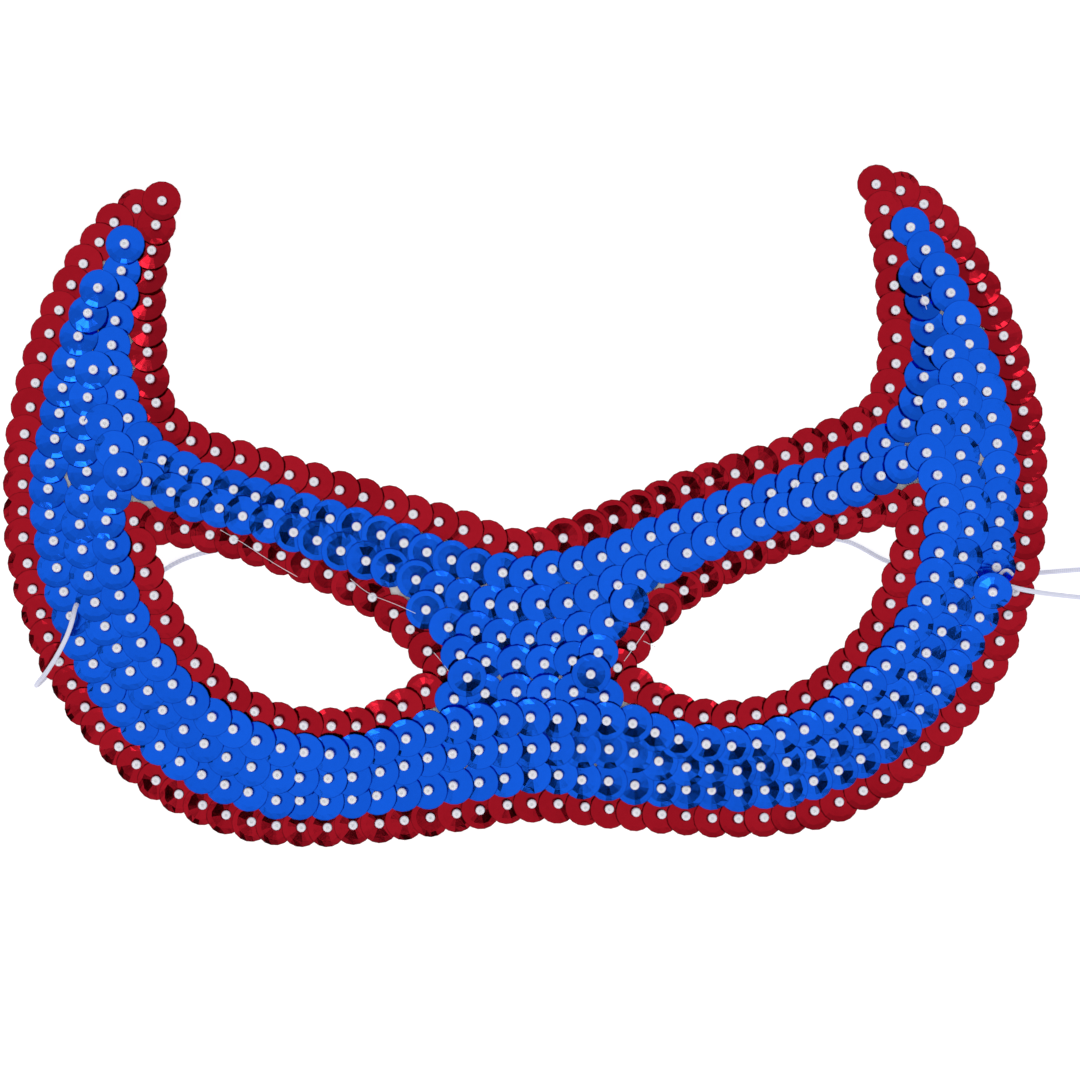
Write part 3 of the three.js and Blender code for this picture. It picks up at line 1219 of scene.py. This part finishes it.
    def beads(self, name: str, row: Sequence[Sequin], pattern: bpy.types.Mesh) -> bpy.types.Object:
        """Returns one piece with a bead over the hole of each sequin of some rows, a little askew."""
        lift = Matrix.Translation((0, 0, self.bead_lift))
        places = []
        for sequin in row:
            lean = Matrix.Rotation(self.chance.gauss(0, self.bead_lean), 4, "X")
            lean = lean @ Matrix.Rotation(self.chance.gauss(0, self.bead_lean), 4, "Y")
            places.append(Place(self.top_matrix(sequin) @ lift @ lean, sequin.tone))
        return joined_copies(name, pattern, places)


@dataclass
class SequinMask:
    """The mask's own pieces on their felt.

    The bare place is where the edge row has no sequin, and the lifted sequin lies over the elastic. Strays
    are how far a sequin may lie beside its row.
    """

    bow: Bow = field(default_factory=Bow)
    grid: float = 0.004
    sliver_area: float = 1e-9
    crease_angle: float = 1.0
    border_stray: float = 0.00018
    field_stray: float = 0.0003
    bare_place: Vector = field(default_factory=lambda: Vector((0.0822, 0.0517)))
    bare_reach: float = 0.002
    lifted_place: Vector = field(default_factory=lambda: Vector((0.0965, -0.0192)))
    lifted_height: float = 0.0036
    lifted_slope: Vector = field(default_factory=lambda: Vector((0.28, 0.33)))
    stitch_radius: float = 0.00013
    stitch_lift: float = 0.0002
    stitch_stray: float = 0.0001
    stitch_span: tuple[float, float] = (0.12, 0.76)
    longest_stitch: float = 1.6 * SEQUIN_PITCH
    thread_radius: float = 0.00007
    thread_height: float = 0.0017

    def __post_init__(self) -> None:
        """Takes the mask's size from the frame."""
        low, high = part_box("felt_backing")
        self.low, self.high = Vector(low), Vector(high)
        self.field = SequinField(self.high.x - FELT_OVERHANG, self.bow)

    def build(self) -> None:
        """Builds and dresses the sequins, the beads, the felt and its stitches."""
        rows = self._sew_rows()
        self._dress_sequins(rows)
        self._felt()
        self._stitches(rows)
        self._loose_threads()

    def _sew_rows(self) -> dict[str, list[Sequin]]:
        """Lays every row in the order of sewing.

        Returns:
            The sequins by the name of the model's node that they stand for.
        """
        seams = self.field
        outer = seams.spanned(CHEEK_SEAM, True).stations(SEQUIN_PITCH, rhythm=Rhythm.SEQUIN)
        outer += seams.spanned(BROW_SEAM, False).stations(SEQUIN_PITCH, rhythm=Rhythm.GAP)
        outer = outer[1:] + outer[:1]
        rows = {"outer_border_sequins": seams.sew(outer, Facing.ANTICLOCKWISE, self.border_stray)}
        for side, facing in ((Side.LEFT, Facing.CLOCKWISE), (Side.RIGHT, Facing.ANTICLOCKWISE)):
            node = f"{side.name.lower()}_eye_border_sequins"
            rows[node] = seams.sew(self._eye_stations(side), facing, self.border_stray)
        rows["blue_sequin_field"] = self._sew_blue_rows()
        seams.settle()
        seams.lift(self.lifted_place, self.lifted_height, self.lifted_slope)
        return rows

    def _sew_blue_rows(self) -> list[Sequin]:
        """Lays the rows between the borders, from the edge row in to the goggle row under the eyes.

        Returns:
            Their sequins in the order of sewing.
        """
        seams, stray = self.field, self.field_stray
        edge = seams.spanned(EDGE_LOWER_ROW, True).stations(SEQUIN_PITCH, rhythm=Rhythm.SEQUIN)
        edge += seams.spanned(EDGE_UPPER_ROW, False).stations(SEQUIN_PITCH, rhythm=Rhythm.SEQUIN)
        edge = [station for station in edge if (station.point - self.bare_place).length > self.bare_reach]
        blue = seams.sew(leaned(edge), Facing.CLOCKWISE, stray)
        middle = seams.spanned(MIDDLE_ROW, True).stations(SEQUIN_PITCH, True, Rhythm.SEQUIN)
        blue += seams.sew(leaned(middle), Facing.CLOCKWISE, stray)
        for side in Side:
            horn = seams.seam(HORN_ROW, side).stations(SEQUIN_PITCH, True)
            blue += seams.sew(leaned(horn), Facing.CLOCKWISE, stray)
        goggle = seams.spanned(GOGGLE_UPPER_ROW, False).stations(SEQUIN_PITCH, rhythm=Rhythm.GAP)
        blue += seams.sew(goggle, Facing.CLOCKWISE, stray)
        for shares, pitch in zip(NOSE_ROWS, NOSE_PITCHES):
            across = seams.spanned(shares, True).stations(pitch, True)
            blue += seams.sew(across, Facing.ANTICLOCKWISE, stray)
        for side in Side:
            beside = seams.seam(NOSE_SIDE_ROW, side).stations(SEQUIN_PITCH)
            blue += seams.sew(beside, Facing.CLOCKWISE, stray)
        under = seams.spanned(GOGGLE_LOWER_ROW, True).stations(SEQUIN_PITCH, rhythm=Rhythm.SEQUIN)
        blue += seams.sew(under, Facing.CLOCKWISE, stray)
        return blue

    def _eye_stations(self, side: Side) -> list[Station]:
        """Returns the stations round an eye, anticlockwise."""
        spans = [self.field.seam(EYE_TOP_SEAM, side), self.field.seam(EYE_FLOOR_SEAM, side)]
        stations = [station for span in spans for station in span.stations(SEQUIN_PITCH)]
        if side is Side.RIGHT:
            return stations
        return [Station(station.point, -station.along) for station in reversed(stations)]

    def _dress_sequins(self, rows: dict[str, list[Sequin]]) -> None:
        """Makes the sequins and the beads of each of the model's nodes.

        Args:
            rows: The sequins by node.
        """
        cup = self.field.cup.mesh()
        bead = self.field.bead.mesh()
        foils = {"red_sequins": RED_FOIL.material(), "blue_sequins": BLUE_FOIL.material()}
        glass = BeadFinish().material()
        for node, row in rows.items():
            slot = "blue_sequins" if node == "blue_sequin_field" else "red_sequins"
            sequins = self.field.dress(f"{node}_cups", row, cup)
            sequins.data.materials.append(foils[slot])
            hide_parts(node)
            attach(sequins, "root")
            beads = self.field.beads(f"{node}_seed_beads", row, bead)
            beads.data.materials.append(glass)
            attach(beads, "root")
            LOG.info("%s: %d sequins and beads", node, len(row))
        bpy.data.meshes.remove(cup)
        bpy.data.meshes.remove(bead)

    def _felt(self) -> None:
        """Makes the felt from the model's own outline, with a smooth bow in place of its facets."""
        shape = bmesh.new()
        shape.from_mesh(bpy.data.objects["felt_backing"].data)
        bmesh.ops.remove_doubles(shape, verts=shape.verts, dist=SAME_PLACE)
        for axis, low, high in ((0, self.low.x, self.high.x), (1, self.low.y, self.high.y)):
            normal = Vector((1, 0, 0)) if axis == 0 else Vector((0, 1, 0))
            for step in range(1, int((high - low) / self.grid) + 1):
                place = normal * (low + step * self.grid)
                geom = shape.verts[:] + shape.edges[:] + shape.faces[:]
                bmesh.ops.bisect_plane(shape, geom=geom, dist=SAME_PLACE, plane_co=place, plane_no=normal)
        shape.normal_update()
        in_front = [self._is_in_front(vert) for vert in shape.verts]
        for vert, is_front in zip(shape.verts, in_front):
            back = max(self.bow.height(vert.co.x, vert.co.y), self.stitch_lift)
            vert.co.z = back + (FELT_THICKNESS if is_front else 0)
        for face in shape.faces:
            face.smooth = True
        for edge in shape.edges:
            if len(edge.link_faces) == 2 and edge.calc_face_angle(0) > self.crease_angle:
                edge.smooth = False
        felt = placed("felt_sheet", finished_mesh(shape, "felt_sheet"))
        felt.data.materials.append(FeltFinish().material())
        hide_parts("felt_backing")
        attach(felt, "root")
        LOG.info("felt_sheet: %d faces", len(felt.data.polygons))

    def _is_in_front(self, vert: bmesh.types.BMVert) -> bool:
        """Says whether a corner of the felt is on its front.

        Args:
            vert: The corner.

        Returns:
            What its level faces say or, in the middle of the felt's edge, which side it is nearer to.
        """
        level = [face for face in vert.link_faces if abs(face.normal.z) > 0.5]
        facing = sum(face.normal.z * face.calc_area() for face in level)
        if abs(facing) > self.sliver_area:
            return facing > 0
        return vert.co.z - self.bow.height(vert.co.x, vert.co.y) > FELT_THICKNESS / 2

    def _stitches(self, rows: dict[str, list[Sequin]]) -> None:
        """Makes the running stitches that show on the felt's back, one behind each pair of neighbours.

        Args:
            rows: The sequins by node.
        """
        chance = random.Random(5)
        begin, span = self.stitch_span
        strands = []
        for row in rows.values():
            for first, second in zip(row, row[1:]):
                run = second.point - first.point
                if run.length > self.longest_stitch:
                    continue
                start = first.point + run * begin
                shares = (0, 0.35, 0.7, 1)
                strands.append([self._behind(start + run * span * share, chance) for share in shares])
        for strand in strands:
            strand[0].z += 3 * self.stitch_radius
            strand[-1].z += 3 * self.stitch_radius
        stitches = strand_mesh("back_stitches", strands, self.stitch_radius)
        stitches.data.materials.append(NylonFinish("sewing_thread", (0.9, 0.9, 0.92, 1.0)).material())
        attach(stitches, "root")
        LOG.info("back_stitches: %d stitches", len(strands))

    def _behind(self, point: Vector, chance: random.Random) -> Vector:
        """Returns a place that a thread takes on the felt's back."""
        stray = self.stitch_stray
        x, y = point + Vector((chance.uniform(-stray, stray), chance.uniform(-stray, stray)))
        return Vector((x, y, max(self.bow.height(x, y), 1.4 * self.stitch_radius)))

    def _loose_threads(self) -> None:
        """Makes the clear threads that lie across the front between distant beads."""
        strands = [
            [Vector((x, y, self.bow.height(x, y) + FELT_THICKNESS + self.thread_height)) for x, y in run]
            for run in LOOSE_THREADS
        ]
        threads = strand_mesh("loose_threads", strands, self.thread_radius)
        threads.data.materials.append(NylonFinish().material())
        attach(threads, "root")


@dataclass
class Elastic:
    """The round elastic that lies loose, and its two knots behind the felt.

    The drop, the depth and the stem's heights are reckoned from the felt's back.
    """

    knot_radius: float = 0.00032
    knot_strand: float = 0.00036
    knot_drop: float = 0.0014
    knot_depth: float = 0.0005
    knot_steps: int = 22
    stem_heights: tuple[float, ...] = (-0.0012, 0.0, 0.0017)
    tail_height: float = 0.001
    tail: tuple[tuple[float, float, float], ...] = (
        (0.0978, -0.0171, 0.0072),
        (0.0986, -0.0156, 0.0087),
        (0.0996, -0.0152, 0.0091),
        (0.1008, -0.0162, 0.0087),
    )

    def build(self, bow: Bow, half_width: float) -> None:
        """Args:
            bow: The mask's curve, behind which the knots lie.
            half_width: Half the width of the outer seam.
        """
        braid = BraidFinish().material()
        for name, share in (("right_cord_knot", RIGHT_HOLE), ("left_cord_knot", LEFT_HOLE)):
            place = point_of(share, half_width)
            tail = self.tail if share is RIGHT_HOLE else ()
            exit_place = Vector((place.x, place.y, bow.height(place.x, place.y)))
            knot = self._knot(f"{name}_tied", exit_place, tail)
            knot.data.materials.append(braid)
            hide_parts(name)
            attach(knot, "root")
        cord = self._cord()
        cord.data.materials.append(braid)
        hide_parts("elastic_cord")
        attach(cord, "root")
        LOG.info("elastic: %d points", len(CORD_ROUTE))

    def _cord(self) -> bpy.types.Object:
        """Builds the cord as one curve through its route, bending as the model's own cord does.

        Returns:
            The curve.
        """
        points = [Vector(point) for point in CORD_ROUTE]
        before = points[0] * 2 - points[1]
        after = points[-1] * 2 - points[-2]
        reached = [before, *points, after]
        curve = bpy.data.curves.new("elastic_lead", "CURVE")
        curve.dimensions = "3D"
        curve.bevel_depth = CORD_DIAMETER / 2
        curve.bevel_resolution = 3
        curve.resolution_u = 10
        curve.use_fill_caps = True
        spline = curve.splines.new("BEZIER")
        spline.bezier_points.add(len(points) - 1)
        for index, knot in enumerate(spline.bezier_points):
            knot.handle_left_type = knot.handle_right_type = "FREE"
            knot.co = points[index]
            knot.handle_left = points[index]
            knot.handle_right = points[index]
        for index in range(len(points) - 1):
            leave, arrive = self._tangents(*reached[index : index + 4])
            spline.bezier_points[index].handle_right = points[index] + leave / 3
            spline.bezier_points[index + 1].handle_left = points[index + 1] - arrive / 3
        return placed("elastic_lead", curve)

    @staticmethod
    def _tangents(before: Vector, start: Vector, end: Vector, after: Vector) -> tuple[Vector, Vector]:
        """Directions at the two ends of a stretch of a centripetal spline.

        Args:
            before: The point before the stretch.
            start: Its start.
            end: Its end.
            after: The point after it.

        Returns:
            The directions at its start and at its end, as long as the stretch asks.
        """
        first = (start - before).length ** 0.5
        middle = (end - start).length ** 0.5
        last = (after - end).length ** 0.5
        leave = (start - before) / first - (end - before) / (first + middle) + (end - start) / middle
        arrive = (end - start) / middle - (after - start) / (middle + last) + (after - end) / last
        return leave * middle, arrive * middle

    def _knot(
        self, name: str, exit_place: Vector, tail: Sequence[tuple[float, float, float]]
    ) -> bpy.types.Object:
        """Builds an overhand knot under the hole, and the cord that stands in the hole.

        Args:
            name: The piece's name.
            exit_place: Where the hole's axis meets the felt's back.
            tail: Where the cord's short end shows on the front, if it does.

        Returns:
            The piece.
        """
        centre = exit_place - Vector((0, 0, self.knot_drop))
        strand = []
        for step in range(self.knot_steps):
            turn = 2 * math.pi * (step + 0.5) / self.knot_steps
            across = (math.sin(turn) + 2 * math.sin(2 * turn)) * self.knot_radius
            up = (math.cos(turn) - 2 * math.cos(2 * turn)) * self.knot_radius
            strand.append(centre + Vector((across, up, -math.sin(3 * turn) * self.knot_depth)))
        strands = [strand, [exit_place + Vector((0, 0, height)) for height in self.stem_heights]]
        if tail:
            start = exit_place + Vector((0, 0, self.tail_height))
            strands.append([start, *(Vector(point) for point in tail)])
        return strand_mesh(name, strands, self.knot_strand, 3)


@dataclass(frozen=True)
class SoftBox:
    """A square light that faces the mask, with its brightness against the room's."""

    name: str
    place: tuple[float, float, float]
    size: float
    radiance: float

    def build(self) -> None:
        """Makes the light."""
        light = bpy.data.lights.new(self.name, "AREA")
        light.shape = "SQUARE"
        light.size = self.size
        light.energy = self.radiance * math.pi * self.size * self.size
        lamp = placed(self.name, light)
        lamp.location = self.place
        lamp.rotation_euler = (-Vector(self.place)).to_track_quat("-Z", "Y").to_euler()


@dataclass(frozen=True)
class DarkCard:
    """A small dark disc over the mask, which only its foil mirrors."""

    name: str
    place: tuple[float, float, float]
    radius: float

    def build(self, material: bpy.types.Material) -> None:
        """Makes the card.

        Args:
            material: Its finish.
        """
        shape = bmesh.new()
        bmesh.ops.create_circle(
            shape, cap_ends=True, segments=32, radius=self.radius, matrix=Matrix.Translation(self.place)
        )
        card = placed(self.name, finished_mesh(shape, self.name))
        card.data.materials.append(material)
        card.visible_camera = False
        card.visible_shadow = False
        card.visible_diffuse = False


@dataclass
class Studio:
    """A pale floor under a bright, even room, as a photographer's light tent gives.

    The room darkens to its far shade between two heights of the direction's Y.
    """

    frame_width: float = 0.2244
    centre: tuple[float, float] = (0.00282, -0.00678)
    middle_height: float = 0.008
    roll: float = math.radians(-1.2738)
    lens: float = 135.0
    floor_half: float = 3.0
    floor_glow: float = 0.5
    far_from: float = 0.25
    far_to: float = 0.5
    near_shade: Colour = (1.0, 1.0, 1.0, 1.0)
    far_shade: Colour = (0.66, 0.66, 0.67, 1.0)
    soft_boxes: tuple[SoftBox, ...] = (
        SoftBox("far_soft_box", (-0.2, 1.08, 1.0), 0.36, 4.0),
        SoftBox("near_soft_box", (-0.1, -1.2, 0.9), 0.25, 3.4),
    )
    cards: tuple[DarkCard, ...] = (
        DarkCard("dark_card_1", (-0.005, -0.085, 0.21), 0.038),
        DarkCard("dark_card_2", (-0.01, -0.008, 0.15), 0.024),
    )

    def build(self) -> None:
        """Makes the camera, the floor, the room's light, two soft boxes and the dark cards."""
        self._camera()
        self._floor()
        self._room()
        for box in self.soft_boxes:
            box.build()
        material, sheet = new_sheet("dark_card")
        sheet.surface(
            {"Base Color": (0.008, 0.008, 0.01, 1.0), "Roughness": 0.9, "Specular IOR Level": 0.0}
        )
        for card in self.cards:
            card.build(material)
        view = bpy.context.scene.view_settings
        view.view_transform = "Standard"
        view.look = "None"

    def _camera(self) -> None:
        """Makes the camera, which looks straight down as the photograph was taken."""
        data = bpy.data.cameras.new("photo_camera")
        data.lens = self.lens
        data.sensor_width = 36.0
        distance = self.frame_width * self.lens / data.sensor_width
        data.clip_start = 0.01
        data.clip_end = 20.0
        camera = placed("photo_camera", data)
        camera.location = (self.centre[0], self.centre[1], self.middle_height + distance)
        camera.rotation_euler = (0.0, 0.0, self.roll)
        bpy.context.scene.camera = camera

    def _floor(self) -> None:
        """Makes the floor, which is pale enough to look white under the room's light."""
        shape = bmesh.new()
        bmesh.ops.create_grid(shape, x_segments=1, y_segments=1, size=self.floor_half)
        floor = placed("floor", finished_mesh(shape, "floor"))
        material, sheet = new_sheet("pale_floor")
        grain = sheet.noise(sheet.object_place(), 40.0, 2.0)
        sheet.surface(
            {
                "Base Color": sheet.mix(grain, (0.7, 0.7, 0.705, 1.0), (0.72, 0.72, 0.725, 1.0)),
                "Roughness": 0.9,
                "Specular IOR Level": 0.1,
                "Emission Color": (1.0, 1.0, 1.0, 1.0),
                "Emission Strength": self.floor_glow,
            }
        )
        floor.data.materials.append(material)

    def _room(self) -> None:
        """Makes the room's even light, which is dimmer towards the far side."""
        world = bpy.data.worlds.new("bright_room")
        world.use_nodes = True
        bpy.context.scene.world = world
        sheet = NodeSheet(world.node_tree)
        direction = sheet.node("ShaderNodeTexCoord", {}, {}).value("Generated")
        parts = sheet.node("ShaderNodeSeparateXYZ", {}, {"Vector": direction})
        shade = sheet.node(
            "ShaderNodeMapRange",
            {"clamp": True, "interpolation_type": "SMOOTHSTEP"},
            {
                "Value": parts.value("Y"),
                "From Min": self.far_from,
                "From Max": self.far_to,
                "To Min": 0.0,
                "To Max": 1.0,
            },
        ).value("Result")
        colour = sheet.mix(shade, self.near_shade, self.far_shade)
        light = sheet.node("ShaderNodeBackground", {}, {"Color": colour, "Strength": 1.0})
        sheet.node("ShaderNodeOutputWorld", {}, {"Surface": light.value("Background")})


def main() -> None:
    """Builds the whole scene, whose builders log the size of their pieces as they are made."""
    logging.basicConfig(level=logging.INFO)
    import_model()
    Studio().build()
    mask = SequinMask()
    Elastic().build(mask.bow, mask.field.half_width)
    mask.build()


if __name__ == "__main__":
    main()
